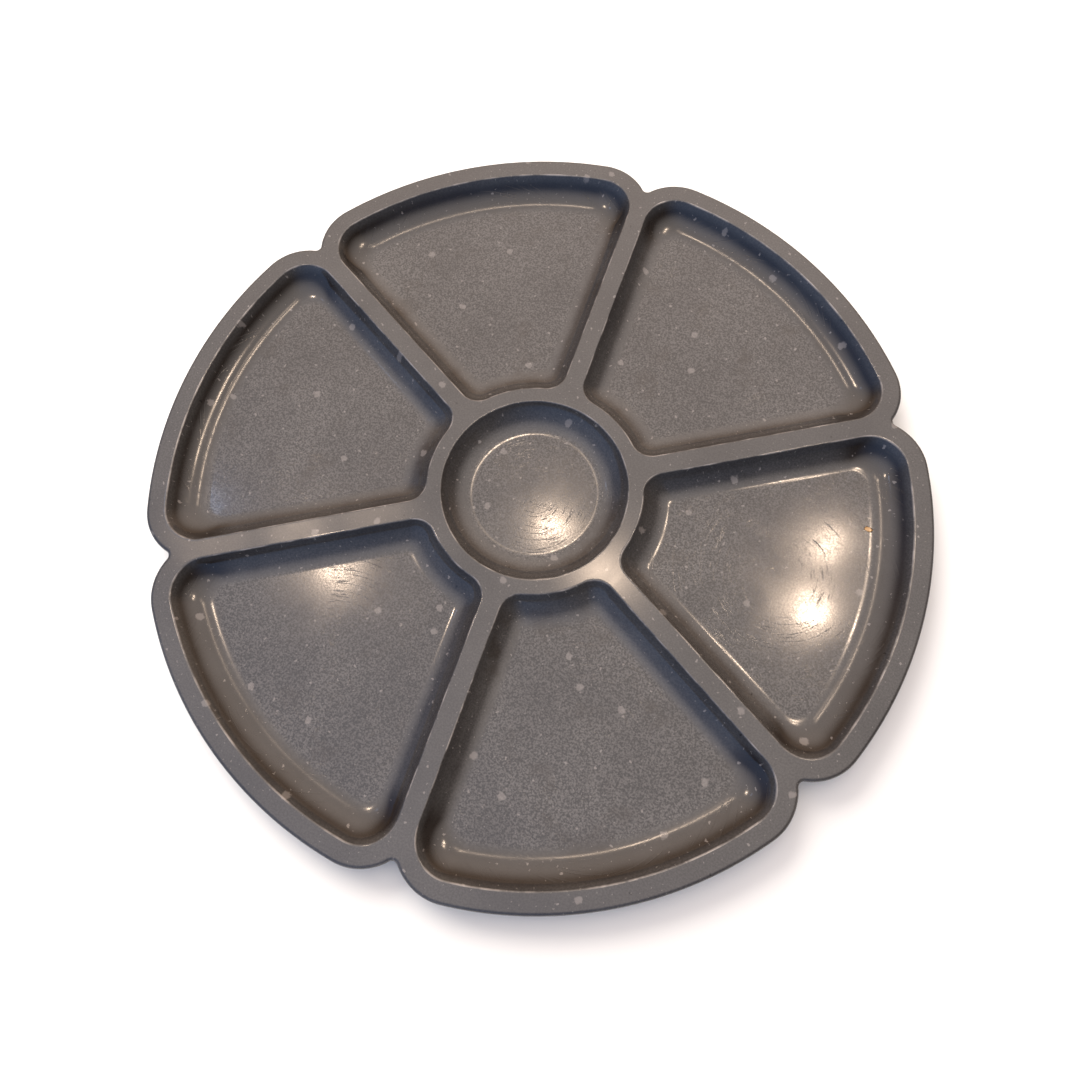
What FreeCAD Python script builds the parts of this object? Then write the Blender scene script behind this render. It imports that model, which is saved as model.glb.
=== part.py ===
import FreeCAD, Part
import math
import os

# A round mixing palette: one thin moulding with six fan-shaped wells round a
# centre well. It is divided here into its rim, ribs, hub ring and wells, which
# meet face to face. Millimetres; the origin is on the table under the centre,
# +Z is up, and the middle of the first fan well lies along +X.

WELLS = 6                   # fan wells, and as many ribs between them
OUTLINE_RADIUS = 90.0       # scalloped edge, at the middle of a lobe
RIM_WIDTH = 4.7             # flat land outside a fan well
RIB_WIDTH = 4.5             # flat land between two fan wells
HUB_RADIUS = 25.0           # outside of the ring round the centre well
CENTRE_WELL_RADIUS = 21.5
RIM_CORNER = 8.0            # plan radius of a fan well's corners at the rim
HUB_CORNER = 5.0            # and of its corners at the hub ring
NOTCH_FILLET = 1.2          # plan radius in the notch between two lobes
WELL_DEPTH = 4.5
WALL = 1.8                  # thickness of the moulding; a little more under the rim's sides
WALL_SLOPE = math.radians(62.0)     # of a well's side at its top, from level
FAN_COVE = 6.6              # radius between a fan well's side and its floor
CENTRE_COVE = 7.6           # the same in the centre well
RIM_SPREAD = 1.27           # a fan well's side is this much wider along the rim than at a
HUB_SPREAD = 1.15           # rib, and this much along the hub ring
WELL_EDGE_ROUND = 0.4       # top edges of the wells
OUTER_EDGE_ROUND = 0.9      # top edge of the outline

# How far the corners keep their radius as the outline moves in by 1 mm
RIM_CORNER_LOSS = 0.7
HUB_CORNER_LOSS = 0.5

HEIGHT = WELL_DEPTH + WALL
HALF_PITCH = math.pi / WELLS        # from a well's middle to the rib beside it
COVE_STEPS = 8
ROUND_STEPS = 2
CLEAR = 1.0                 # how far a cutting solid runs past what it cuts


def at(radius, angle, height=0.0):
    """Point at a radius and an angle from +X."""
    return FreeCAD.Vector(radius * math.cos(angle), radius * math.sin(angle), height)


def beside_rib(along, off, height, side):
    """Point along a rib's middle line, moved off it into the first well; side is 1 or -1."""
    angle = HALF_PITCH
    x = along * math.cos(angle) + off * math.sin(angle)
    y = along * math.sin(angle) - off * math.cos(angle)
    return FreeCAD.Vector(x, side * y, height)


def arc(start, middle, end):
    return Part.Arc(start, middle, end).toShape()


def line(start, end):
    return Part.LineSegment(start, end).toShape()


def middle_of_arc(centre, radius, start, end):
    """Middle of the short arc from start to end about centre."""
    way = (start - centre) + (end - centre)
    way.normalize()
    return centre + way * radius


def rim_corner(inset, height, side):
    """Centre and radius of a fan well's corner at the rim, with the outline moved in by inset."""
    radius = RIM_CORNER - RIM_CORNER_LOSS * inset
    off = RIB_WIDTH / 2 + inset + radius
    reach = OUTLINE_RADIUS - RIM_WIDTH - RIM_SPREAD * inset - radius
    return beside_rib(math.sqrt(reach ** 2 - off ** 2), off, height, side), radius


def hub_corner(inset, height, side):
    """Centre and radius of a fan well's corner at the hub ring."""
    radius = HUB_CORNER - HUB_CORNER_LOSS * inset
    off = RIB_WIDTH / 2 + inset + radius
    reach = HUB_RADIUS + HUB_SPREAD * inset + radius
    return beside_rib(math.sqrt(reach ** 2 - off ** 2), off, height, side), radius


def toward(centre, radius, height):
    """Point at a radius from the palette's middle, in the direction of centre."""
    return at(radius, math.atan2(centre.y, centre.x), height)


def fan_outline(inset, height):
    """Outline of the first fan well, moved in by inset at the ribs and laid at a height."""
    off = RIB_WIDTH / 2 + inset
    outer = OUTLINE_RADIUS - RIM_WIDTH - RIM_SPREAD * inset
    inner = HUB_RADIUS + HUB_SPREAD * inset
    corners = {}
    for side in (1, -1):
        rim_centre, rim_radius = rim_corner(inset, height, side)
        hub_centre, hub_radius = hub_corner(inset, height, side)
        rim_end = toward(rim_centre, outer, height)
        hub_end = toward(hub_centre, inner, height)
        rib_out = beside_rib(rim_along(rim_centre), off, height, side)
        rib_in = beside_rib(rim_along(hub_centre), off, height, side)
        rim_mid = middle_of_arc(rim_centre, rim_radius, rim_end, rib_out)
        hub_mid = middle_of_arc(hub_centre, hub_radius, hub_end, rib_in)
        corners[side] = (rim_end, rim_mid, rib_out, rib_in, hub_mid, hub_end)
    up = corners[1]
    down = corners[-1]
    return Part.Wire([
        arc(down[0], at(outer, 0, height), up[0]),
        arc(up[0], up[1], up[2]),
        line(up[2], up[3]),
        arc(up[3], up[4], up[5]),
        arc(up[5], at(inner, 0, height), down[5]),
        arc(down[5], down[4], down[3]),
        line(down[3], down[2]),
        arc(down[2], down[1], down[0]),
    ])


def rim_along(point):
    """How far a point lies along the middle line of the nearer rib."""
    return point.x * math.cos(HALF_PITCH) + abs(point.y) * math.sin(HALF_PITCH)


def centre_outline(inset, height):
    """Outline of the centre well, moved in by inset."""
    circle = Part.Circle(at(0, 0, height), FreeCAD.Vector(0, 0, 1), CENTRE_WELL_RADIUS - inset)
    return Part.Wire([circle.toShape()])


def side_width(cove):
    """Level width of a well's side, from its top edge to its floor."""
    straight = (WELL_DEPTH - cove * (1 - math.cos(WALL_SLOPE))) / math.sin(WALL_SLOPE)
    return straight * math.cos(WALL_SLOPE) + cove * math.sin(WALL_SLOPE)


def cove_points(cove, behind):
    """(inset, height) down the cove; behind is how far under the well's surface."""
    points = []
    for step in range(COVE_STEPS + 1):
        angle = WALL_SLOPE * (1 - step / COVE_STEPS)
        inset = side_width(cove) - (cove + behind) * math.sin(angle)
        points.append((inset, WALL + cove - (cove + behind) * math.cos(angle)))
    return points


def cavity_profile(cove):
    """(inset, height) from above the palette, over the rounded edge and down to the floor."""
    start = -WELL_EDGE_ROUND * math.tan(WALL_SLOPE / 2)
    points = [(start, HEIGHT + CLEAR)]
    for step in range(ROUND_STEPS + 1):
        angle = WALL_SLOPE * step / ROUND_STEPS
        inset = start + WELL_EDGE_ROUND * math.sin(angle)
        points.append((inset, HEIGHT - WELL_EDGE_ROUND * (1 - math.cos(angle))))
    return points + cove_points(cove, 0.0)


def pan_profile(cove):
    """(inset, height) down the underside of a well, from inside the land to the table."""
    points = cove_points(cove, WALL)
    top = HEIGHT - WALL / 2
    inset, height = points[0]
    return [(inset - (top - height) / math.tan(WALL_SLOPE), top)] + points


def lofted(outline, profile):
    """Closed solid through the outline at each (inset, height) of a profile."""
    return Part.makeLoft([outline(inset, height) for inset, height in profile], True, True)


def prism(outline):
    """Upright solid on a well's top edge, as tall as the palette and a little more."""
    foot = outline(0.0, -CLEAR)
    return Part.Face(foot).extrude(FreeCAD.Vector(0, 0, HEIGHT + 2 * CLEAR))


def turned(shape, place):
    """Copy of a shape at one of the six places round the centre."""
    copy = shape.copy()
    copy.rotate(FreeCAD.Vector(0, 0, 0), FreeCAD.Vector(0, 0, 1), math.degrees(2 * HALF_PITCH * place))
    return copy


def lobe_edges(height):
    """Edges of the outline round the first fan well, from notch to notch."""
    ends = {}
    for side in (1, -1):
        centre, radius = rim_corner(0.0, height, side)
        radius = radius + RIM_WIDTH
        off = RIB_WIDTH / 2 + RIM_CORNER
        notch_along = rim_along(centre) + math.sqrt((radius + NOTCH_FILLET) ** 2 - off ** 2)
        notch = beside_rib(notch_along, 0.0, height, side)
        start = toward(centre, OUTLINE_RADIUS, height)
        way = notch - centre
        way.normalize()
        touch = centre + way * radius
        ends[side] = (start, middle_of_arc(centre, radius, start, touch), touch, notch_along)
    up = ends[1]
    down = ends[-1]
    valley = beside_rib(up[3] - NOTCH_FILLET, 0.0, height, 1)
    next_touch = turned(Part.Vertex(down[2]), 1).Point
    return [
        arc(down[2], down[1], down[0]),
        arc(down[0], at(OUTLINE_RADIUS, 0, height), up[0]),
        arc(up[0], up[1], up[2]),
        arc(up[2], valley, next_touch),
    ]


def land_plate():
    """Plate with the scalloped outline, at the level of the rim and ribs, top edge rounded."""
    edges = []
    for place in range(WELLS):
        edges += [turned(edge, place) for edge in lobe_edges(HEIGHT - WALL)]
    plate = Part.Face(Part.Wire(edges)).extrude(FreeCAD.Vector(0, 0, WALL))
    top = [edge for edge in plate.Edges if edge.BoundBox.ZMin > HEIGHT - WALL / 2]
    return plate.makeFillet(OUTER_EDGE_ROUND, top)


def well(outline, cove):
    """One well: its side and floor, inside its own top edge."""
    pan = lofted(outline, pan_profile(cove))
    return pan.common(prism(outline)).cut(lofted(outline, cavity_profile(cove)))


def web():
    """All that lies outside the wells' top edges: rim, ribs and hub ring in one."""
    fan_pan = lofted(fan_outline, pan_profile(FAN_COVE))
    fan_space = prism(fan_outline).fuse(lofted(fan_outline, cavity_profile(FAN_COVE)))
    centre_pan = lofted(centre_outline, pan_profile(CENTRE_COVE))
    centre_space = prism(centre_outline).fuse(lofted(centre_outline, cavity_profile(CENTRE_COVE)))
    pans = [turned(fan_pan, place) for place in range(WELLS)] + [centre_pan]
    spaces = [turned(fan_space, place) for place in range(WELLS)] + [centre_space]
    return land_plate().fuse(pans).cut(spaces)


def rib_block():
    """Block round the parallel stretch of the rib between the first two wells."""
    start = rim_along(hub_corner(0.0, 0.0, 1)[0])
    end = rim_along(rim_corner(0.0, 0.0, 1)[0])
    corner = FreeCAD.Vector(start, -RIB_WIDTH, -CLEAR)
    block = Part.makeBox(end - start, 2 * RIB_WIDTH, HEIGHT + 2 * CLEAR, corner)
    block.rotate(FreeCAD.Vector(0, 0, 0), FreeCAD.Vector(0, 0, 1), math.degrees(HALF_PITCH))
    return block


def palette():
    """Every named region of the palette and its shape."""
    land = web()
    blocks = [turned(rib_block(), place) for place in range(WELLS)]
    middle = Part.makeCylinder((HUB_RADIUS + OUTLINE_RADIUS) / 2, HEIGHT + 2 * CLEAR, at(0, 0, -CLEAR))
    parts = {"outer_rim": land.cut(blocks + [middle]), "hub_ring": land.common(middle).cut(blocks)}
    fan = well(fan_outline, FAN_COVE)
    for place in range(WELLS):
        parts[f"rib_{place + 1}"] = land.common(blocks[place])
        parts[f"fan_well_{place + 1}"] = turned(fan, place)
    parts["centre_well"] = well(centre_outline, CENTRE_COVE)
    return parts


os.makedirs("parts", exist_ok=True)
for name, shape in palette().items():
    solids = shape.Solids
    print(name, shape.ShapeType, len(solids), "valid", shape.isValid(), "mm3", round(shape.Volume, 1))
    if len(solids) == 1:
        shape = solids[0]
    shape.exportStep(f"parts/{name}.step")
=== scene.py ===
import math

import bmesh
import bpy
from mathutils import Matrix, Vector


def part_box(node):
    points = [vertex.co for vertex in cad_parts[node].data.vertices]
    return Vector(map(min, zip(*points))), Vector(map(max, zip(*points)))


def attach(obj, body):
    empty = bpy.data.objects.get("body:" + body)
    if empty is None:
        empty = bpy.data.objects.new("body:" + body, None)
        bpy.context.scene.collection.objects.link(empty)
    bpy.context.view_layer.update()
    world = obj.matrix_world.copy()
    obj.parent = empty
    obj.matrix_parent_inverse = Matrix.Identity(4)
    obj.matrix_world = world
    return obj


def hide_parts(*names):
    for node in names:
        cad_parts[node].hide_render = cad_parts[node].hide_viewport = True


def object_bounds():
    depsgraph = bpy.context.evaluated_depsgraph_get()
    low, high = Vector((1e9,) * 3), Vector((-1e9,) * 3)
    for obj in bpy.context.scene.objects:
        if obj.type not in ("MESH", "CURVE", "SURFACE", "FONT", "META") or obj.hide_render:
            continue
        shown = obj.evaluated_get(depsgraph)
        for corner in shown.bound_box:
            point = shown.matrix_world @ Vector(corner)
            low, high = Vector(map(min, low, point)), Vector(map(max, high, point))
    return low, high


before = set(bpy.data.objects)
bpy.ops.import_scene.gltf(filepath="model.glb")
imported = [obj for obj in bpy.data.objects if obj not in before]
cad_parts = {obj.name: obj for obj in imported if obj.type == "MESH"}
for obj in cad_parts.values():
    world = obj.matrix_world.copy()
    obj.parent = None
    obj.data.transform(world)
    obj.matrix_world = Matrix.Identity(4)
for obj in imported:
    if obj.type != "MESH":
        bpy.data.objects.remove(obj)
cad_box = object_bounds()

# The viewpoint: nearly overhead, with the camera a little turned in the hand. It is
# close, less than one palette's width away, so the lens is a wide one. All lengths in
# this file are millimetres until a mesh, lamp or camera is made from them.
MM = 0.001
OUTLINE_RADIUS = (cad_box[1][0] - cad_box[0][0]) / 2 / MM
HEIGHT = (cad_box[1][2] - cad_box[0][2]) / MM
VIEW_AZIMUTH = math.radians(25.64)
VIEW_ELEVATION = math.radians(74.84)
VIEW_ROLL = math.radians(-6.22)
VIEW_DISTANCE = 168.9
AIM_TOWARDS_CAMERA = 12.6           # how far in front of the centre the camera aims
LENS = 25.04

view_side = Vector((math.cos(VIEW_AZIMUTH), math.sin(VIEW_AZIMUTH), 0))
view_front = Vector((math.sin(VIEW_AZIMUTH), -math.cos(VIEW_AZIMUTH), 0))
view_back = view_front * math.cos(VIEW_ELEVATION) + Vector((0, 0, math.sin(VIEW_ELEVATION)))
view_up = view_back.cross(view_side)
camera_x = view_side * math.cos(VIEW_ROLL) + view_up * math.sin(VIEW_ROLL)
camera_y = view_up * math.cos(VIEW_ROLL) - view_side * math.sin(VIEW_ROLL)
aim = view_front * AIM_TOWARDS_CAMERA + Vector((0, 0, HEIGHT))
camera_place = aim + view_back * VIEW_DISTANCE

camera = bpy.data.objects.new("camera", bpy.data.cameras.new("camera"))
camera.data.lens = LENS
camera.data.clip_start = 0.01
camera_turn = Matrix((camera_x, camera_y, view_back)).transposed().to_4x4()
camera.matrix_world = Matrix.Translation(camera_place * MM) @ camera_turn
bpy.context.collection.objects.link(camera)
bpy.context.scene.camera = camera
bpy.context.scene.view_settings.view_transform = "Standard"


# The studio: a seamless pale sheet under the palette, a soft pale ceiling above, and a
# few small lamps on it that the shiny plastic mirrors as glints and thin bright lines.
def to_linear(code):
    """Linear red, green, blue and alpha of an sRGB hex colour."""
    parts = [int(code[i:i + 2], 16) / 255 for i in (1, 3, 5)]
    return [c / 12.92 if c <= 0.04045 else ((c + 0.055) / 1.055) ** 2.4 for c in parts] + [1]


def add_node(tree, kind, settings=None, links=None):
    """Adds a node; links maps an input to a value, an output, or a node's first output."""
    node = tree.nodes.new(kind)
    for name, value in (settings or {}).items():
        setattr(node, name, value)
    for name, value in (links or {}).items():
        value = value.outputs[0] if isinstance(value, bpy.types.Node) else value
        if isinstance(value, bpy.types.NodeSocket):
            tree.links.new(value, node.inputs[name])
        else:
            node.inputs[name].default_value = value
    return node


def new_material(name):
    """An empty node material and its output node."""
    material = bpy.data.materials.new(name)
    material.use_nodes = True
    material.node_tree.nodes.clear()
    return material, material.node_tree.nodes.new("ShaderNodeOutputMaterial")


SHEET_HALF = 1500.0                 # half the side of the sheet
paper, paper_output = new_material("pale_backdrop_paper")
paper_shader = add_node(paper.node_tree, "ShaderNodeBsdfPrincipled", links={
    "Base Color": to_linear("#cccac5"), "Roughness": 0.9})
paper.node_tree.links.new(paper_shader.outputs[0], paper_output.inputs["Surface"])

sheet_mesh = bpy.data.meshes.new("backdrop")
sheet_corners = [(-1, -1), (1, -1), (1, 1), (-1, 1)]
sheet_mesh.from_pydata([(x * SHEET_HALF * MM, y * SHEET_HALF * MM, 0) for x, y in sheet_corners],
                       [], [(0, 1, 2, 3)])
sheet_mesh.materials.append(paper)
sheet = bpy.data.objects.new("backdrop", sheet_mesh)
bpy.context.collection.objects.link(sheet)


def area_lamp(name, place, width, height, watts, colour):
    """An oval lamp at a place in millimetres, facing the palette."""
    lamp = bpy.data.lights.new(name, "AREA")
    lamp.shape = "ELLIPSE"
    lamp.size = width * MM
    lamp.size_y = height * MM
    lamp.energy = watts
    lamp.color = to_linear(colour)[:3]
    holder = bpy.data.objects.new(name, lamp)
    holder.location = place * MM
    holder.rotation_euler = place.to_track_quat("Z", "Y").to_euler()
    bpy.context.collection.objects.link(holder)
    return holder


def from_view(right, up, above):
    """A place given by how far it is to the right, up and above as the camera sees it."""
    level_right = Vector((camera_x.x, camera_x.y, 0)).normalized()
    level_up = Vector((0, 0, 1)).cross(level_right)
    return level_right * right + level_up * up + Vector((0, 0, above))


# A wide low lamp that reaches only the sheet: it gives the palette its soft shadow there
SHEET_LAMP_PLACE = (-650, 1130, 640)
SHEET_LAMP_WIDTH = 1700.0
SHEET_LAMP_HEIGHT = 1200.0
SHEET_LAMP_WATTS = 62.0
sheet_lamp = area_lamp("sheet_lamp", from_view(*SHEET_LAMP_PLACE), SHEET_LAMP_WIDTH,
                       SHEET_LAMP_HEIGHT, SHEET_LAMP_WATTS, "#fffdfb")
sheet_lamp.light_linking.receiver_collection = bpy.data.collections.new("sheet_only")
sheet_lamp.light_linking.receiver_collection.objects.link(sheet)

# Lamps on the ceiling, a bright bulb in a dim shade, placed by where a level surface
# shows them: how far right and up of the centre the mirror image lies, the watts of the
# bulb and the shade, their colour, and the first node of each piece that shows them. The
# real moulding is slightly warped, so each of its parts shows a lamp in a place of its
# own. They show only in the gloss.
WARM = "#ffe2c6"
COOL = "#bcd4ff"
WELL_GLINT = ("fan_well_1",)
LAND_GLINT = ("outer_rim", "hub_ring", "rib_1")
LAMPS = [(60, -28, 0.7, 0.24, WARM, WELL_GLINT), (65, -14, 0.5, 0.18, WARM, WELL_GLINT),
         (-45, -18, 0.8, 0.12, WARM, WELL_GLINT), (4.5, -9, 0.75, 0.12, WARM, ("centre_well",)),
         (4.5, -9, 0.22, 0.12, WARM, WELL_GLINT), (16, -19, 0.05, 0.08, WARM, WELL_GLINT),
         (15, -20, 0.4, 0.4, WARM, LAND_GLINT), (-36, -6.5, 0, 0.14, WARM, LAND_GLINT),
         (-54, -9.4, 0, 0.22, WARM, LAND_GLINT), (-74, -12, 0, 0.12, WARM, LAND_GLINT),
         (-76, -3, 0.06, 0, COOL, ("fan_well_1", "centre_well"))]
LAMP_DISTANCE = 1300.0              # from the palette
BULB = 40.0                         # diameters
SHADE = 120.0
shown_on = []                       # each glint's nodes, and the collection they go in
for number, (right, up, bulb, shade, colour, nodes) in enumerate(LAMPS, 1):
    mirror = from_view(right, up, HEIGHT)
    ray = (mirror - camera_place).normalized()
    ray.z = -ray.z
    shown_on.append((nodes, bpy.data.collections.new(f"glint_{number}")))
    for part, size, watts in (("bulb", BULB, bulb), ("shade", SHADE, shade)):
        if watts:
            lamp = area_lamp(f"{part}_{number}", mirror + ray * LAMP_DISTANCE, size, size, watts, colour)
            lamp.visible_diffuse = False
            lamp.light_linking.receiver_collection = shown_on[-1][1]

# The room: a pale ceiling, brightest a little beyond the palette and fading evenly
# toward the walls. It is bluish on the window's side and brownish at the far wall. Each
# glow has the direction of its middle, a colour, how far it reaches (the cosine at its
# edge) and its strength.
ROOM_COLOUR = "#f4ece6"
ROOM_STRENGTH = 0.11
SEEN_COLOUR = "#f4f2f0"             # what shows behind the sheet
ROOM = [((0.03, 0.34, 1.0), "#fff3ec", 0.46, 2.5), ((-0.8, -0.7, 0.45), "#7cadee", 0.1, 1.05),
        ((0.1, 1.0, 0.2), "#cfae92", 0.25, 1.5)]
world = bpy.data.worlds.new("studio")
world.use_nodes = True
room_tree = world.node_tree
room_tree.nodes.clear()
toward = add_node(room_tree, "ShaderNodeTexCoord").outputs["Generated"]
room = add_node(room_tree, "ShaderNodeBackground", links={
    "Color": to_linear(ROOM_COLOUR), "Strength": ROOM_STRENGTH}).outputs[0]
for (right, up, above), colour, edge, strength in ROOM:
    facing = add_node(room_tree, "ShaderNodeVectorMath", {"operation": "DOT_PRODUCT"}, {
        0: toward, 1: from_view(right, up, above).normalized()})
    glow = add_node(room_tree, "ShaderNodeMapRange", {"interpolation_type": "SMOOTHSTEP"}, {
        "Value": facing.outputs["Value"], "From Min": edge, "From Max": 1.0, "To Max": strength})
    part = add_node(room_tree, "ShaderNodeBackground", links={
        "Color": to_linear(colour), "Strength": glow.outputs[0]})
    room = add_node(room_tree, "ShaderNodeAddShader", links={0: room, 1: part.outputs[0]}).outputs[0]
seen = add_node(room_tree, "ShaderNodeLightPath").outputs["Is Camera Ray"]
backdrop = add_node(room_tree, "ShaderNodeBackground", links={"Color": to_linear(SEEN_COLOUR)}).outputs[0]
room = add_node(room_tree, "ShaderNodeMixShader", links={0: seen, 1: room, 2: backdrop}).outputs[0]
add_node(room_tree, "ShaderNodeOutputWorld", links={"Surface": room})
bpy.context.scene.world = world


# The fan wells: six shallow fan-shaped pans round the centre, pressed into the one
# moulding. Their sides run down in a hollow curve to a flat floor, the top edges are
# crisp, and the same curve shows below, one wall thickness further out.
WELLS = 6
HALF_PITCH = math.pi / WELLS
WALL = 1.8
LAND_UNDERSIDE = HEIGHT - WALL
WELL_DEPTH = HEIGHT - WALL
SIDE_SLOPE = math.radians(62)       # of a well's side at its top, from level
FAN_COVE = 6.6                      # radius between a side and the floor
RIM_SPREAD = 1.27                   # a side is this much wider along the rim than at a
HUB_SPREAD = 1.15                   # rib, and this much along the hub ring
WELL_EDGE_ROUND = 0.4
HUB_CORNER = 5.0                    # plan radius of the corners at the hub ring
RIM_CORNER_LOSS = 0.7               # how much a corner's radius shrinks as the
HUB_CORNER_LOSS = 0.5               # outline moves in by 1 mm
SEAM = -0.35                        # where a well's piece meets the land, outside its edge
SUPPORT = 0.12                      # width of the flat strip beside a rounded edge

# The second rib lies along Y, so its box gives a rib's width and both its ends. A
# well's corner at the rim touches the rib where the rib ends.
rib_low, rib_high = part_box("rib_2")
HALF_RIB = (rib_high[0] - rib_low[0]) / 2 / MM
RIB_START = rib_low[1] / MM
RIB_END = rib_high[1] / MM
FAN_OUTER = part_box("fan_well_1")[1][0] / MM
RIM_CORNER = (FAN_OUTER ** 2 - RIB_END ** 2 - HALF_RIB ** 2) / (2 * (FAN_OUTER + HALF_RIB))
HUB_RADIUS = math.hypot(RIB_START, HALF_RIB + HUB_CORNER) - HUB_CORNER
CENTRE_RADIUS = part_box("centre_well")[1][0] / MM

OUTER_STEPS = 40                    # columns along each stretch of half a fan well
CORNER_STEPS = 18
SIDE_STEPS = 10
HUB_CORNER_STEPS = 14
HUB_STEPS = 16
ROUND_STEPS = 6                     # rows round a well's top edge
COVE_STEPS = 18                     # rows down the hollow curve


def polar(radius, angle):
    return Vector((radius * math.cos(angle), radius * math.sin(angle)))


def beside_rib(along, off):
    """Point along the first rib's middle line, moved off it into the first fan well."""
    line = polar(along, HALF_PITCH)
    return line + Vector((math.sin(HALF_PITCH), -math.cos(HALF_PITCH))) * off


def arc(centre, radius, start, end, steps):
    """Points from angle start to angle end, the last one left out."""
    turn = (end - start) / steps
    return [centre + polar(radius, start + turn * step) for step in range(steps)]


def rim_corner(inset):
    """Centre and radius of a fan well's corner at the rim, the outline moved in by inset."""
    radius = RIM_CORNER - RIM_CORNER_LOSS * inset
    off = HALF_RIB + inset + radius
    reach = FAN_OUTER - RIM_SPREAD * inset - radius
    return beside_rib(math.sqrt(reach ** 2 - off ** 2), off), radius


def hub_corner(inset):
    """Centre and radius of a fan well's corner at the hub ring."""
    radius = HUB_CORNER - HUB_CORNER_LOSS * inset
    off = HALF_RIB + inset + radius
    reach = HUB_RADIUS + HUB_SPREAD * inset + radius
    return beside_rib(math.sqrt(reach ** 2 - off ** 2), off), radius


def angle_of(point):
    return math.atan2(point.y, point.x)


TOWARDS_RIB = HALF_PITCH + math.pi / 2


def rim_stretch(inset):
    """Half of a well's rim side: from its middle round the corner, up to the rib."""
    centre, radius = rim_corner(inset)
    points = arc(Vector((0, 0)), FAN_OUTER - RIM_SPREAD * inset, 0, angle_of(centre), OUTER_STEPS)
    return points + arc(centre, radius, angle_of(centre), TOWARDS_RIB, CORNER_STEPS)


def hub_stretch(inset):
    """Half of a well's hub side: from the rib round the corner to its middle."""
    centre, radius = hub_corner(inset)
    inward = angle_of(centre) + math.pi
    points = arc(centre, radius, TOWARDS_RIB, inward, HUB_CORNER_STEPS)
    radius = HUB_RADIUS + HUB_SPREAD * inset
    return points + arc(Vector((0, 0)), radius, angle_of(centre), 0, HUB_STEPS) + [Vector((radius, 0))]


def mirrored(points):
    return [Vector((p.x, -p.y)) for p in points]


def fan_outline(inset):
    """Closed outline of the first fan well, counter-clockwise from its middle at the rim."""
    rim = rim_stretch(inset)
    hub = hub_stretch(inset)
    side_start = rim_corner(inset)
    start = side_start[0] + polar(side_start[1], TOWARDS_RIB)
    step = (hub[0] - start) / SIDE_STEPS
    half = rim + [start + step * i for i in range(SIDE_STEPS)] + hub
    return half + mirrored(half[1:-1])[::-1]


def side_width(cove):
    """Level width of a well's side, from its top edge to its floor."""
    straight = (WELL_DEPTH - cove * (1 - math.cos(SIDE_SLOPE))) / math.sin(SIDE_SLOPE)
    return straight * math.cos(SIDE_SLOPE) + cove * math.sin(SIDE_SLOPE)


def cove_rows(cove, behind, top_angle):
    """(inset, height) down a cove to the floor; behind is how far under the surface."""
    rows = []
    for step in range(COVE_STEPS + 1):
        angle = top_angle * (1 - step / COVE_STEPS)
        inset = side_width(cove) - (cove + behind) * math.sin(angle)
        rows.append((inset, WALL + cove - (cove + behind) * math.cos(angle)))
    return rows


def inside_rows(cove):
    """(inset, height) from the seam over the rounded edge and down to the floor."""
    start = -WELL_EDGE_ROUND * math.tan(SIDE_SLOPE / 2)
    rows = [(SEAM, HEIGHT)]
    for step in range(ROUND_STEPS + 1):
        angle = SIDE_SLOPE * step / ROUND_STEPS
        rows.append((start + WELL_EDGE_ROUND * math.sin(angle),
                     HEIGHT - WELL_EDGE_ROUND * (1 - math.cos(angle))))
    return rows + cove_rows(cove, 0.0, SIDE_SLOPE) + [(side_width(cove) + SUPPORT, WALL)]


def under_rows(cove):
    """(inset, height) from the seam down the underside of a well to the table."""
    seam_angle = math.asin((side_width(cove) - SEAM) / (cove + WALL))
    return cove_rows(cove, WALL, seam_angle) + [(side_width(cove) + SUPPORT, 0.0)]


IN_WELL = "in_well"                 # attribute: place in the well, and inset, in mm


def add_loop(shape, points, height, inset, middle=Vector((0, 0))):
    """A row of points; each notes its place seen from the well's middle, and its inset."""
    layer = shape.verts.layers.float_vector.get(IN_WELL)
    layer = layer or shape.verts.layers.float_vector.new(IN_WELL)
    loop = []
    for p in points:
        loop.append(shape.verts.new((p.x * MM, p.y * MM, height * MM)))
        loop[-1][layer] = (p.x - middle.x, p.y - middle.y, inset)
    return loop


def bridge(shape, upper, lower):
    """Quads between two closed loops, facing the middle when upper is the higher loop."""
    for i in range(len(upper)):
        j = (i + 1) % len(upper)
        shape.faces.new((upper[i], upper[j], lower[j], lower[i]))


def pan(outline, cove, middle):
    """Mesh of one well with its side, floor and underside, closed by an upright seam face."""
    shape = bmesh.new()
    loops = [add_loop(shape, outline(inset), height, inset, middle) for inset, height in inside_rows(cove)]
    under = [add_loop(shape, outline(inset), height, inset, middle) for inset, height in under_rows(cove)]
    for upper, lower in zip(loops, loops[1:]):
        bridge(shape, lower, upper)
    for upper, lower in zip(under, under[1:]):
        bridge(shape, upper, lower)
    bridge(shape, loops[0], under[0])
    shape.faces.new(loops[-1])
    shape.faces.new(under[-1][::-1])
    return shape


EDGE_ANGLE = math.radians(32)       # edges sharper than this stay crisp in the shading


def piece_from(shape, name, material):
    """An object from a bmesh, smooth except at its sharp edges."""
    bmesh.ops.recalc_face_normals(shape, faces=shape.faces)
    mesh = bpy.data.meshes.new(name)
    shape.to_mesh(mesh)
    shape.free()
    mesh.materials.append(material)
    mesh.shade_smooth()
    mesh.set_sharp_from_angle(angle=EDGE_ANGLE)
    piece = bpy.data.objects.new(name, mesh)
    bpy.context.collection.objects.link(piece)
    return piece


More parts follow.
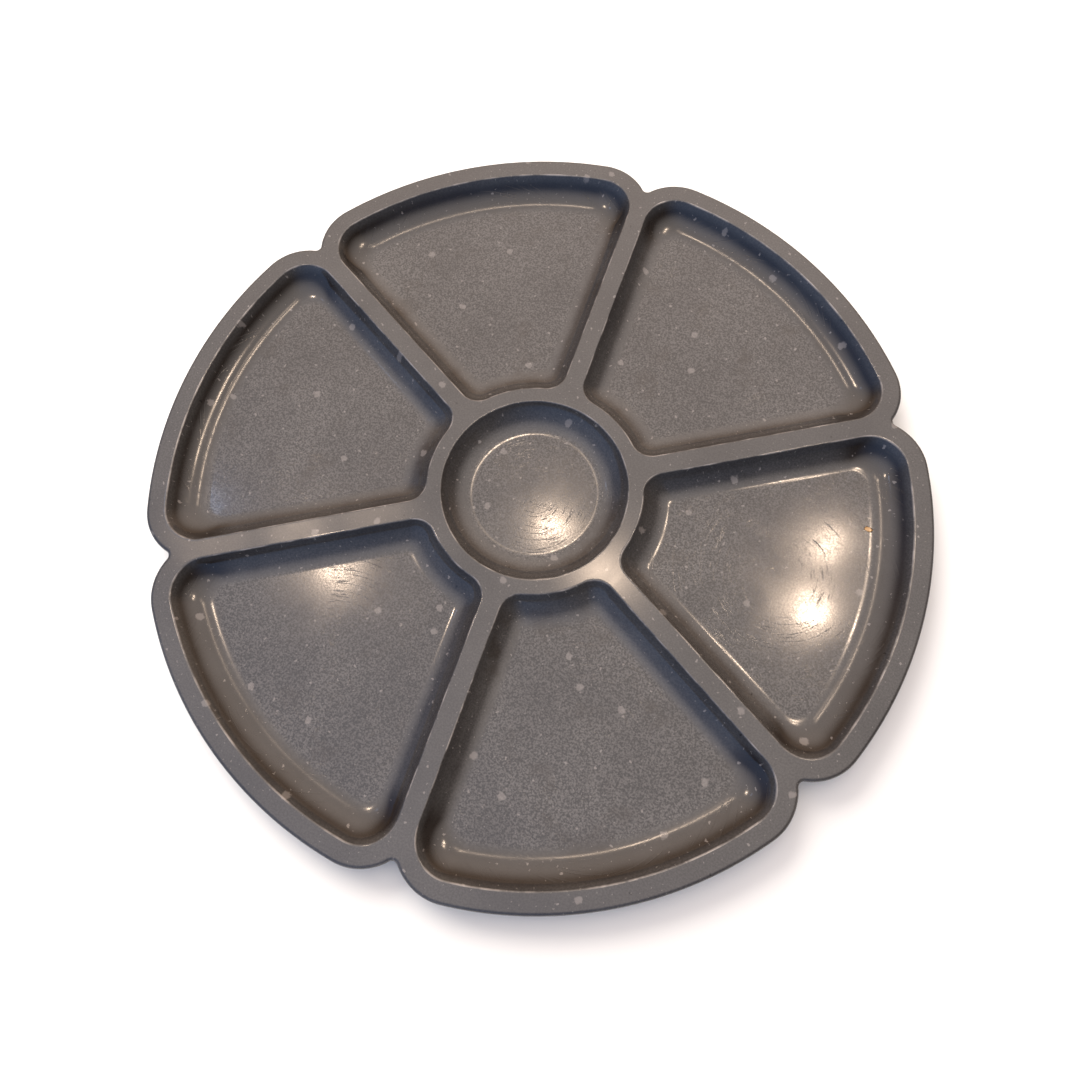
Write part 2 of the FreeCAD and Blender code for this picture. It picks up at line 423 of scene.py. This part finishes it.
# The plastic: a dark warm-grey thermoplastic with a satin face, moulded from a mix
# with pale grey flecks, a few of them nearly 2 mm across. The floors of the wells have
# a fine pebbled grain, glossy on top and dull in the pits, and curved hairlines from
# years of stirring. The sides and the rims are smoother; the sides along the rim carry
# brownish painted shade, and the well edges a pale line of wear and painted highlight.
PATTERNS = {                        # noise: spacing in mm, detail, roughness, twist
    "clouds": (24, 5.0, 0.62, 0.0), "pebbles": (0.42, 2.0, 0.6, 0.0), "side_shade_and_stains": (11, 4.0, 0.6, 0.0),
    "ragged": (1.3, 3.0, 0.65, 0.0), "rubbing": (5, 3.0, 0.5, 0.0), "smears": (14, 4.0, 0.65, 0.8),
    "stirring": (12, 2.0, 0.5, 0.0), "waves": (26, 1.0, 0.5, 0.0)}
HAIRLINE = 0.32                     # spacing of the hairlines, and how long their arcs are:
ARC_LENGTH = 3.2                    # the larger, the shorter
CLOUDS = [(0.36, "#383533"), (0.66, "#45423f")]     # the plastic's darkest and palest
FLOOR_MOTTLE = 1.0                  # strength of the fine mottle on the floors, and
LAND_MOTTLE = 0.25                  # everywhere else
# brownish painted shade on the well sides along the rim
PAINTED_SIDE_SHADE = "#1f1813"
STAIN = "#2b231c"
# pale along the top of the well edges' rounding: rubbed wear and a painted highlight
EDGE_WEAR_AND_HIGHLIGHT = "#a59c93"
DRIED_PAINT = "#a5783a"
CHIPS = [                           # spacing and radius in mm, share kept, strength, colour
    (14.0, 0.25, 0.4, 0.75, "#1d1916"), (17.0, 0.85, 0.62, 0.33, "#a0978f"),
    (6.5, 0.28, 0.55, 0.4, "#a0978f"), (1.7, 0.13, 0.35, 0.28, "#a0978f")]
CHIP_CORE = 0.7                     # a chip is whole inside this share of its radius, and
CHIP_EDGE = 1.15                    # has faded out at this one
RAGGEDNESS = 1.5                    # how far the chips' edges wander, millimetres
PAINT_CRUMB = (75.9, 17.5)          # a crumb of dried paint
CRUMB_LENGTH = 1.1                  # half of its length
CRUMB_SLIMNESS = 2.2                # its length over its width
CRUMB_CORE = 0.8                    # as for a chip
CRUMB_EDGE = 1.1
CRUMB_HEIGHT = 0.25
WAVE_HEIGHT = 0.13
GRAIN_HEIGHT = 0.003
HAIRLINE_DEPTH = 0.012


def place_on_palette(tree):
    """Where a point is: in mm, its level, its distance from the axis, and in its well."""
    place = {}
    where = add_node(tree, "ShaderNodeTexCoord").outputs["Object"]
    place["mm"] = add_node(tree, "ShaderNodeMapping", links={"Vector": where, "Scale": (1 / MM,) * 3})
    place["level"] = add_node(tree, "ShaderNodeSeparateXYZ", links={"Vector": place["mm"]}).outputs["Z"]
    plan = add_node(tree, "ShaderNodeVectorMath", {"operation": "MULTIPLY"}, {0: place["mm"], 1: (1, 1, 0)})
    place["radius"] = add_node(tree, "ShaderNodeVectorMath", {"operation": "LENGTH"}, {
        0: plan}).outputs["Value"]
    place["in_well"] = add_node(tree, "ShaderNodeAttribute", {"attribute_name": IN_WELL}).outputs["Vector"]
    place["inset"] = add_node(tree, "ShaderNodeSeparateXYZ", links={"Vector": place["in_well"]}).outputs["Z"]
    return place


def plastic_patterns(tree, place):
    """All the patterns; the hairlines run in arcs round the middle of each well."""
    noise = {}
    for name, (spacing, detail, roughness, twist) in PATTERNS.items():
        noise[name] = add_node(tree, "ShaderNodeTexNoise", links={
            "Vector": place["mm"], "Scale": 1 / spacing, "Detail": detail, "Roughness": roughness,
            "Distortion": twist})
    flat = add_node(tree, "ShaderNodeVectorMath", {"operation": "MULTIPLY"}, {
        0: place["in_well"], 1: (1, 1, 0)})
    ring = add_node(tree, "ShaderNodeVectorMath", {"operation": "LENGTH"}, {0: flat}).outputs["Value"]
    turn = add_node(tree, "ShaderNodeTexGradient", {"gradient_type": "RADIAL"}, {"Vector": place["in_well"]})
    turn = add_node(tree, "ShaderNodeMath", {"operation": "MULTIPLY"}, {
        0: turn.outputs["Fac"], 1: ARC_LENGTH})
    round_middle = add_node(tree, "ShaderNodeCombineXYZ", links={"X": ring, "Y": turn})
    noise["hairlines"] = add_node(tree, "ShaderNodeTexNoise", links={
        "Vector": round_middle, "Scale": 1 / HAIRLINE, "Detail": 2.0, "Roughness": 0.6, "Distortion": 0.15})
    return noise


def palette_regions(tree, place, noise):
    """Masks: each goes smoothly from one amount to another between two values, and where
    several are named together they are multiplied."""
    level = place["level"]
    inset = place["inset"]
    foot = side_width(FAN_COVE)
    outside = FAN_OUTER - OUTLINE_RADIUS
    masks = {}
    for name, value, low, high, start, end in (
            ("floor", inset, foot - 1.2, foot + 0.1, 0.0, 1.0),
            ("inside", level, WALL - 0.15, WALL - 0.05, 0.0, 1.0),
            ("side_top", inset, 0.2, 1.2, 0.0, 1.0),
            ("side_foot", inset, foot - 0.2, foot - 3.0, 0.0, 1.0),
            ("near_rim", place["radius"], FAN_OUTER - 16, FAN_OUTER - 9, 0.0, 1.0),
            # next: how strong the painted shade on the sides along the rim is
            ("side_shade_and_stains", noise["side_shade_and_stains"], 0.3, 0.7, 0.75, 1.0),
            ("stains", noise["side_shade_and_stains"], 0.54, 0.72, 0.0, 0.5),
            ("mottle", noise["pebbles"], 0.36, 0.66, -0.6, 0.85),
            ("grained", noise["pebbles"], 0.58, 0.42, 0.0, 0.04),
            # next four: the pale line along the well edges, rubbed wear and a painted highlight
            ("edge_below", level, HEIGHT - 0.3, HEIGHT - 0.03, 0.0, 1.0),
            ("edge_above", level, HEIGHT - 0.001, HEIGHT - 0.006, 0.0, 1.0),
            ("near_well", inset, -1.5, -0.6, 0.0, 1.0),
            ("rubbed", noise["rubbing"], 0.4, 0.7, 0.0, 0.6),
            ("off_edge", inset, outside + 0.1, outside + 0.6, 0.0, 1.0),
            ("lines", noise["hairlines"], 0.59, 0.67, 0.0, 1.0),
            ("stirred", noise["stirring"], 0.44, 0.56, 0.0, 1.0),
            ("gloss", noise["smears"], 0.3, 0.7, 0.10, 0.15)):
        masks[name] = add_node(tree, "ShaderNodeMapRange", {"interpolation_type": "SMOOTHSTEP"}, {
            "Value": value, "From Min": low, "From Max": high, "To Min": start, "To Max": end})
    for name, parts in (
            # the painted shade lies on the well sides along the rim, down to near the foot
            ("grain", ("floor", "inside")), ("side_shade_and_stains", ("side_shade_and_stains", "side_top", "side_foot", "near_rim", "inside")),
            ("stains", ("stains", "side_top", "inside")), ("pits", ("grained", "grain")),
            ("edge", ("edge_below", "edge_above", "near_well", "rubbed")),
            ("lines", ("lines", "stirred", "side_top", "inside"))):
        product = masks[parts[0]]
        for part in parts[1:]:
            product = add_node(tree, "ShaderNodeMath", {"operation": "MULTIPLY"}, {
                0: product, 1: masks[part]})
        masks[name] = product
    return masks


def dried_paint(tree, wander, inside):
    """Mask of the crumb of dried paint."""
    off = add_node(tree, "ShaderNodeVectorMath", {"operation": "SUBTRACT"}, {
        0: wander, 1: (*PAINT_CRUMB, 0)})
    off = add_node(tree, "ShaderNodeVectorMath", {"operation": "MULTIPLY"}, {
        0: off, 1: (1 / CRUMB_LENGTH, CRUMB_SLIMNESS / CRUMB_LENGTH, 0)})
    away = add_node(tree, "ShaderNodeVectorMath", {"operation": "LENGTH"}, {0: off}).outputs["Value"]
    crumb = add_node(tree, "ShaderNodeMapRange", {"interpolation_type": "SMOOTHSTEP"}, {
        "Value": away, "From Min": CRUMB_EDGE, "From Max": CRUMB_CORE})
    return add_node(tree, "ShaderNodeMath", {"operation": "MULTIPLY"}, {0: crumb, 1: inside})


def flecks_and_specks(tree, wander, off_edge):
    """A mask and a colour for each size of chip; none lies on the rim's upright side."""
    chips = []
    for spacing, size, kept, strength, shade in CHIPS:
        cells = add_node(tree, "ShaderNodeTexVoronoi", {"voronoi_dimensions": "2D"}, {
            "Vector": wander, "Scale": 1 / spacing})
        chip = add_node(tree, "ShaderNodeMapRange", {"interpolation_type": "SMOOTHSTEP"}, {
            "Value": cells.outputs["Distance"], "From Min": CHIP_CORE * size / spacing,
            "From Max": CHIP_EDGE * size / spacing, "To Min": strength, "To Max": 0.0})
        draw = add_node(tree, "ShaderNodeSeparateColor", links={"Color": cells.outputs["Color"]})
        pick = add_node(tree, "ShaderNodeMath", {"operation": "LESS_THAN"}, {0: draw, 1: kept})
        for part in (pick, off_edge):
            chip = add_node(tree, "ShaderNodeMath", {"operation": "MULTIPLY"}, {0: chip, 1: part})
        chips.append((chip, shade))
    return chips


def plastic_colour(tree, noise, masks, marks):
    """Slow cloudy changes and a fine mottle, with the marks laid over them in turn."""
    clouds = add_node(tree, "ShaderNodeValToRGB", links={"Fac": noise["clouds"]})
    for stop, (position, shade) in zip(clouds.color_ramp.elements, CLOUDS):
        stop.position = position
        stop.color = to_linear(shade)
    mottling = add_node(tree, "ShaderNodeMath", {"operation": "MULTIPLY_ADD"}, {
        0: masks["grain"], 1: FLOOR_MOTTLE - LAND_MOTTLE, 2: LAND_MOTTLE})
    mottle = add_node(tree, "ShaderNodeMath", {"operation": "MULTIPLY_ADD"}, {
        0: masks["mottle"], 1: mottling, 2: 1.0})
    colour = add_node(tree, "ShaderNodeVectorMath", {"operation": "SCALE"}, {
        "Vector": clouds, "Scale": mottle}).outputs[0]
    for amount, shade in marks:
        colour = add_node(tree, "ShaderNodeMix", {"data_type": "RGBA"}, {
            "Factor": amount, 6: colour, 7: to_linear(shade)}).outputs[2]
    return colour


def plastic_relief(tree, noise, masks, crumb):
    """A slow unevenness, the pebbled grain of the floors, the crumb and the hairlines."""
    grain = add_node(tree, "ShaderNodeMath", {"operation": "MULTIPLY"}, {
        0: noise["pebbles"], 1: masks["grain"]})
    relief = None
    for height, size in ((noise["waves"], WAVE_HEIGHT), (grain, GRAIN_HEIGHT), (crumb, CRUMB_HEIGHT),
                         (masks["lines"], -HAIRLINE_DEPTH)):
        below = {"Normal": relief} if relief else {}
        relief = add_node(tree, "ShaderNodeBump", {"invert": size < 0}, {
            "Height": height, "Distance": abs(size) * MM, "Strength": 1.0, **below})
    return relief


def plastic():
    """The one material of the whole moulding."""
    material, output = new_material("flecked_grey_satin_plastic")
    tree = material.node_tree
    place = place_on_palette(tree)
    noise = plastic_patterns(tree, place)
    masks = palette_regions(tree, place, noise)
    wander = add_node(tree, "ShaderNodeVectorMath", {"operation": "MULTIPLY_ADD"}, {
        0: noise["ragged"].outputs["Color"], 1: (RAGGEDNESS,) * 3, 2: place["mm"]})
    crumb = dried_paint(tree, wander, masks["inside"])
    # Painted shade darkens the well sides along the rim; the stains are real
    marks = [(masks["side_shade_and_stains"], PAINTED_SIDE_SHADE), (masks["stains"], STAIN)]
    marks += flecks_and_specks(tree, wander, masks["off_edge"])
    # the pale line on the well edges is rubbed wear and a painted highlight
    marks += [(masks["edge"], EDGE_WEAR_AND_HIGHLIGHT), (crumb, DRIED_PAINT)]

    # Gloss: satin, a little glossier on the floors, dull in their pits and along hairlines
    rough = masks["gloss"]
    for part, more in ((masks["grain"], -0.02), (masks["pits"], 1.0), (masks["lines"], 0.02)):
        rough = add_node(tree, "ShaderNodeMath", {"operation": "MULTIPLY_ADD"}, {0: part, 1: more, 2: rough})
    shader = add_node(tree, "ShaderNodeBsdfPrincipled", links={
        "Base Color": plastic_colour(tree, noise, masks, marks), "Roughness": rough, "IOR": 1.5,
        "Normal": plastic_relief(tree, noise, masks, crumb)})
    tree.links.new(shader.outputs[0], output.inputs["Surface"])
    return material


satin_plastic = plastic()


# The palette repeats six times round its middle. One tree makes each of its rings: it
# copies the sector that it is given, welds neighbours where they meet, and sets the
# plastic.
def round_the_centre():
    tree = bpy.data.node_groups.new("round_the_centre", "GeometryNodeTree")
    tree.interface.new_socket("Sector", in_out="INPUT", socket_type="NodeSocketGeometry")
    tree.interface.new_socket("Places", in_out="INPUT", socket_type="NodeSocketInt")
    tree.interface.new_socket("Weld Distance", in_out="INPUT", socket_type="NodeSocketFloat")
    tree.interface.new_socket("Plastic", in_out="INPUT", socket_type="NodeSocketMaterial")
    tree.interface.new_socket("Ring", in_out="OUTPUT", socket_type="NodeSocketGeometry")
    given = add_node(tree, "NodeGroupInput")
    places = add_node(tree, "GeometryNodePoints", links={"Count": given.outputs["Places"]})
    pitch = add_node(tree, "ShaderNodeMath", {"operation": "DIVIDE"}, {
        0: math.tau, 1: given.outputs["Places"]})
    index = add_node(tree, "GeometryNodeInputIndex")
    angle = add_node(tree, "ShaderNodeMath", {"operation": "MULTIPLY"}, {
        0: index.outputs[0], 1: pitch.outputs[0]})
    euler = add_node(tree, "ShaderNodeCombineXYZ", links={"Z": angle.outputs[0]})
    turn = add_node(tree, "FunctionNodeEulerToRotation", links={0: euler.outputs[0]})
    copies = add_node(tree, "GeometryNodeInstanceOnPoints", links={
        "Points": places.outputs[0], "Instance": given.outputs["Sector"],
        "Rotation": turn.outputs[0]})
    real = add_node(tree, "GeometryNodeRealizeInstances", links={0: copies.outputs[0]})
    welded = add_node(tree, "GeometryNodeMergeByDistance", links={
        "Geometry": real.outputs[0], "Distance": given.outputs["Weld Distance"]})
    coloured = add_node(tree, "GeometryNodeSetMaterial", links={
        "Geometry": welded.outputs[0], "Material": given.outputs["Plastic"]})
    add_node(tree, "NodeGroupOutput", links={"Ring": coloured.outputs[0]})
    return tree


SIX_ROUND = round_the_centre()
WELD = 0.002                        # closer than this, two sectors' points are one


def repeat_round(sector, name):
    """A plain object with six copies of a sector round the centre; the sector is removed."""
    modifier = sector.modifiers.new("round_the_centre", "NODES")
    modifier.node_group = SIX_ROUND
    values = {"Places": WELLS, "Weld Distance": WELD * MM, "Plastic": satin_plastic}
    for item in SIX_ROUND.interface.items_tree:
        if item.name in values:
            modifier[item.identifier] = values[item.name]
    bpy.context.view_layer.update()
    baked = bpy.data.meshes.new_from_object(sector.evaluated_get(bpy.context.evaluated_depsgraph_get()))
    baked.name = name
    baked.set_sharp_from_angle(angle=EDGE_ANGLE)
    sector.modifiers.clear()
    bpy.data.objects.remove(sector)
    piece = bpy.data.objects.new(name, baked)
    bpy.context.collection.objects.link(piece)
    return piece


def stands_for(piece, *nodes):
    """Hides the nodes that a piece stands for, lets it show its glints, and hangs it on the root body."""
    for glint_nodes, collection in shown_on:
        if nodes[0] in glint_nodes:
            collection.objects.link(piece)
    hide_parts(*nodes)
    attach(piece, "root")


MIDDLE_SHIFT = 4.0                  # a fan well's middle is this far outside halfway
fan_middle = Vector(((FAN_OUTER + HUB_RADIUS) / 2 + MIDDLE_SHIFT, 0))
fan_sector = piece_from(pan(fan_outline, FAN_COVE, fan_middle), "fan_well_sector", satin_plastic)
fan_wells = repeat_round(fan_sector, "fan_wells")
stands_for(fan_wells, *[f"fan_well_{n + 1}" for n in range(WELLS)])


# The centre well: a round pan of the same depth, with a slightly wider curve at the
# foot of its side.
CENTRE_COVE = 7.6
CENTRE_STEPS = 20                   # columns in each sixth of the circle


def centre_outline(inset):
    return arc(Vector((0, 0)), CENTRE_RADIUS - inset, 0, math.tau, WELLS * CENTRE_STEPS)


centre_pan = pan(centre_outline, CENTRE_COVE, Vector((0, 0)))
centre_well = piece_from(centre_pan, "centre_well", satin_plastic)
stands_for(centre_well, "centre_well")


# The ribs: six straight strips of flat land between neighbouring fan wells. Each is
# hollow below, where the undersides of its two wells lean together.
UNDER_LAND_STEPS = 5


def under_land_rows(cove):
    """(inset, height) from the land's underside down the back of a well's side to the seam."""
    radius = cove + WALL
    seam_angle = math.asin((side_width(cove) - SEAM) / radius)
    top_angle = min(math.acos((WALL + cove - LAND_UNDERSIDE) / radius), SIDE_SLOPE)
    straight = WALL + cove - radius * math.cos(top_angle) - LAND_UNDERSIDE
    top_inset = side_width(cove) - radius * math.sin(top_angle) + straight / math.tan(SIDE_SLOPE)
    rows = [(top_inset, LAND_UNDERSIDE)]
    for step in range(1, UNDER_LAND_STEPS + 1):
        angle = top_angle + (seam_angle - top_angle) * step / UNDER_LAND_STEPS
        inset = side_width(cove) - radius * math.sin(angle)
        rows.append((inset, WALL + cove - radius * math.cos(angle)))
    return rows


fan_under = under_land_rows(FAN_COVE)


def rib_points(shape, along):
    """A rib's section at one of its ends, round from one top edge to the other."""
    one = []
    other = []
    for inset, height in [(SEAM, HEIGHT)] + fan_under[::-1]:
        one += add_loop(shape, [beside_rib(along, -(HALF_RIB + inset))], height, inset)
        other += add_loop(shape, [beside_rib(along, HALF_RIB + inset)], height, inset)
    return one + other[::-1]


def rib():
    shape = bmesh.new()
    start = rib_points(shape, RIB_START)
    end = rib_points(shape, RIB_END)
    bridge(shape, start, end)
    shape.faces.new(start)
    shape.faces.new(end[::-1])
    return shape


ribs = repeat_round(piece_from(rib(), "rib_sector", satin_plastic), "ribs")
stands_for(ribs, *[f"rib_{n + 1}" for n in range(WELLS)])


# The hub ring: the flat band round the centre well, with a short root towards each
# rib. One sixth of it is made, centred on a rib, and repeated.
centre_under = under_land_rows(CENTRE_COVE)


def across_rib(points):
    """The same points on the other side of the first rib, in the next fan well."""
    axis = polar(1, HALF_PITCH)
    return [axis * (2 * p.dot(axis)) - p for p in points]


def hub_sector():
    """One sixth of the hub ring: top, underside, both wells' backs and the cut faces."""
    shape = bmesh.new()
    columns = []
    for inset, height in [(SEAM, HEIGHT)] + fan_under[::-1]:
        near = [beside_rib(RIB_START, HALF_RIB + inset)] + hub_stretch(inset)
        far = across_rib(near)
        columns.append((add_loop(shape, near, height, inset), add_loop(shape, far, height, inset)))
    circles = []
    for inset, height in [(SEAM, HEIGHT)] + centre_under[::-1]:
        arc_points = arc(Vector((0, 0)), CENTRE_RADIUS - inset, 0, 2 * HALF_PITCH, CENTRE_STEPS)
        arc_points.append(polar(CENTRE_RADIUS - inset, 2 * HALF_PITCH))
        circles.append(add_loop(shape, arc_points, height, inset))
    close_sector(shape, columns, circles)
    return shape


def strip(shape, upper, lower):
    """Quads between two open rows."""
    for i in range(len(upper) - 1):
        shape.faces.new((upper[i], upper[i + 1], lower[i + 1], lower[i]))


def close_sector(shape, columns, outside):
    """Faces of a land sector: its wells' backs, its free side, top, underside and rib cut."""
    for (near, far), (near_next, far_next) in zip(columns, columns[1:]):
        strip(shape, near, near_next)
        strip(shape, far_next, far)
    for upper, lower in zip(outside, outside[1:]):
        strip(shape, upper, lower)
    near, far = columns[0]
    shape.faces.new(near[::-1] + far + outside[0][::-1])
    near, far = columns[-1]
    shape.faces.new(near + outside[-1] + far[::-1])
    cut = [near[0] for near, far in columns] + [far[0] for near, far in columns[::-1]]
    shape.faces.new(cut)


hub_ring = repeat_round(piece_from(hub_sector(), "hub_sector", satin_plastic), "hub_ring")
stands_for(hub_ring, "hub_ring")


# The outer rim: the flat land outside the fan wells, scalloped into six lobes with a
# notch at each rib. Its top edge is rounded and its lower edge only just broken.
RIM_WIDTH = OUTLINE_RADIUS - FAN_OUTER
NOTCH_FILLET = 1.2
OUTER_EDGE_ROUND = 0.9
LOWER_EDGE_ROUND = 0.3
NOTCH_STEPS = 8
RIM_ROUND_STEPS = 7
LOWER_ROUND_STEPS = 3


def rim_outline(inset):
    """The outline from the middle of a lobe to the bottom of the notch, moved in by inset."""
    centre, radius = rim_corner(0.0)
    radius = radius + RIM_WIDTH
    off = HALF_RIB + RIM_CORNER
    along = centre.dot(polar(1, HALF_PITCH))
    notch = polar(along + math.sqrt((radius + NOTCH_FILLET) ** 2 - off ** 2), HALF_PITCH)
    touch = angle_of(notch - centre)
    points = arc(Vector((0, 0)), OUTLINE_RADIUS - inset, 0, angle_of(centre), OUTER_STEPS)
    points += arc(centre, radius - inset, angle_of(centre), touch, CORNER_STEPS)
    points += arc(notch, NOTCH_FILLET + inset, touch - math.pi, HALF_PITCH - math.pi, NOTCH_STEPS)
    return points + [notch - polar(NOTCH_FILLET + inset, HALF_PITCH)]


def rim_edge_rows():
    """(inset, height) from the land over the rounded edge and down to the underside."""
    rows = [(OUTER_EDGE_ROUND + SUPPORT, HEIGHT)]
    for step in range(RIM_ROUND_STEPS + 1):
        angle = math.pi / 2 * step / RIM_ROUND_STEPS
        rows.append((OUTER_EDGE_ROUND * (1 - math.sin(angle)),
                     HEIGHT - OUTER_EDGE_ROUND * (1 - math.cos(angle))))
    for step in range(LOWER_ROUND_STEPS + 1):
        angle = math.pi / 2 * step / LOWER_ROUND_STEPS
        rows.append((LOWER_EDGE_ROUND * (1 - math.cos(angle)),
                     LAND_UNDERSIDE + LOWER_EDGE_ROUND * (1 - math.sin(angle))))
    return rows + [(LOWER_EDGE_ROUND + SUPPORT, LAND_UNDERSIDE)]


def rim_stretch_to_cut(inset):
    """The rim side of a well's outline from the rib to its middle."""
    centre, radius = rim_corner(inset)
    return (rim_stretch(inset) + [centre + polar(radius, TOWARDS_RIB)])[::-1]


def rim_sector():
    """One sixth of the rim, centred on a notch; its edge lies outside the wells' edges."""
    shape = bmesh.new()
    columns = []
    for inset, height in [(SEAM, HEIGHT)] + fan_under[::-1]:
        near = [beside_rib(RIB_END, HALF_RIB + inset)] + rim_stretch_to_cut(inset)
        far = across_rib(near)
        columns.append((add_loop(shape, near, height, inset), add_loop(shape, far, height, inset)))
    edges = []
    for inset, height in rim_edge_rows():
        half = rim_outline(inset)
        edges.append(add_loop(shape, half + across_rib(half[:-1])[::-1], height, -RIM_WIDTH + inset))
    close_sector(shape, columns, edges)
    return shape


outer_rim = repeat_round(piece_from(rim_sector(), "rim_sector", satin_plastic), "outer_rim")
stands_for(outer_rim, "outer_rim")
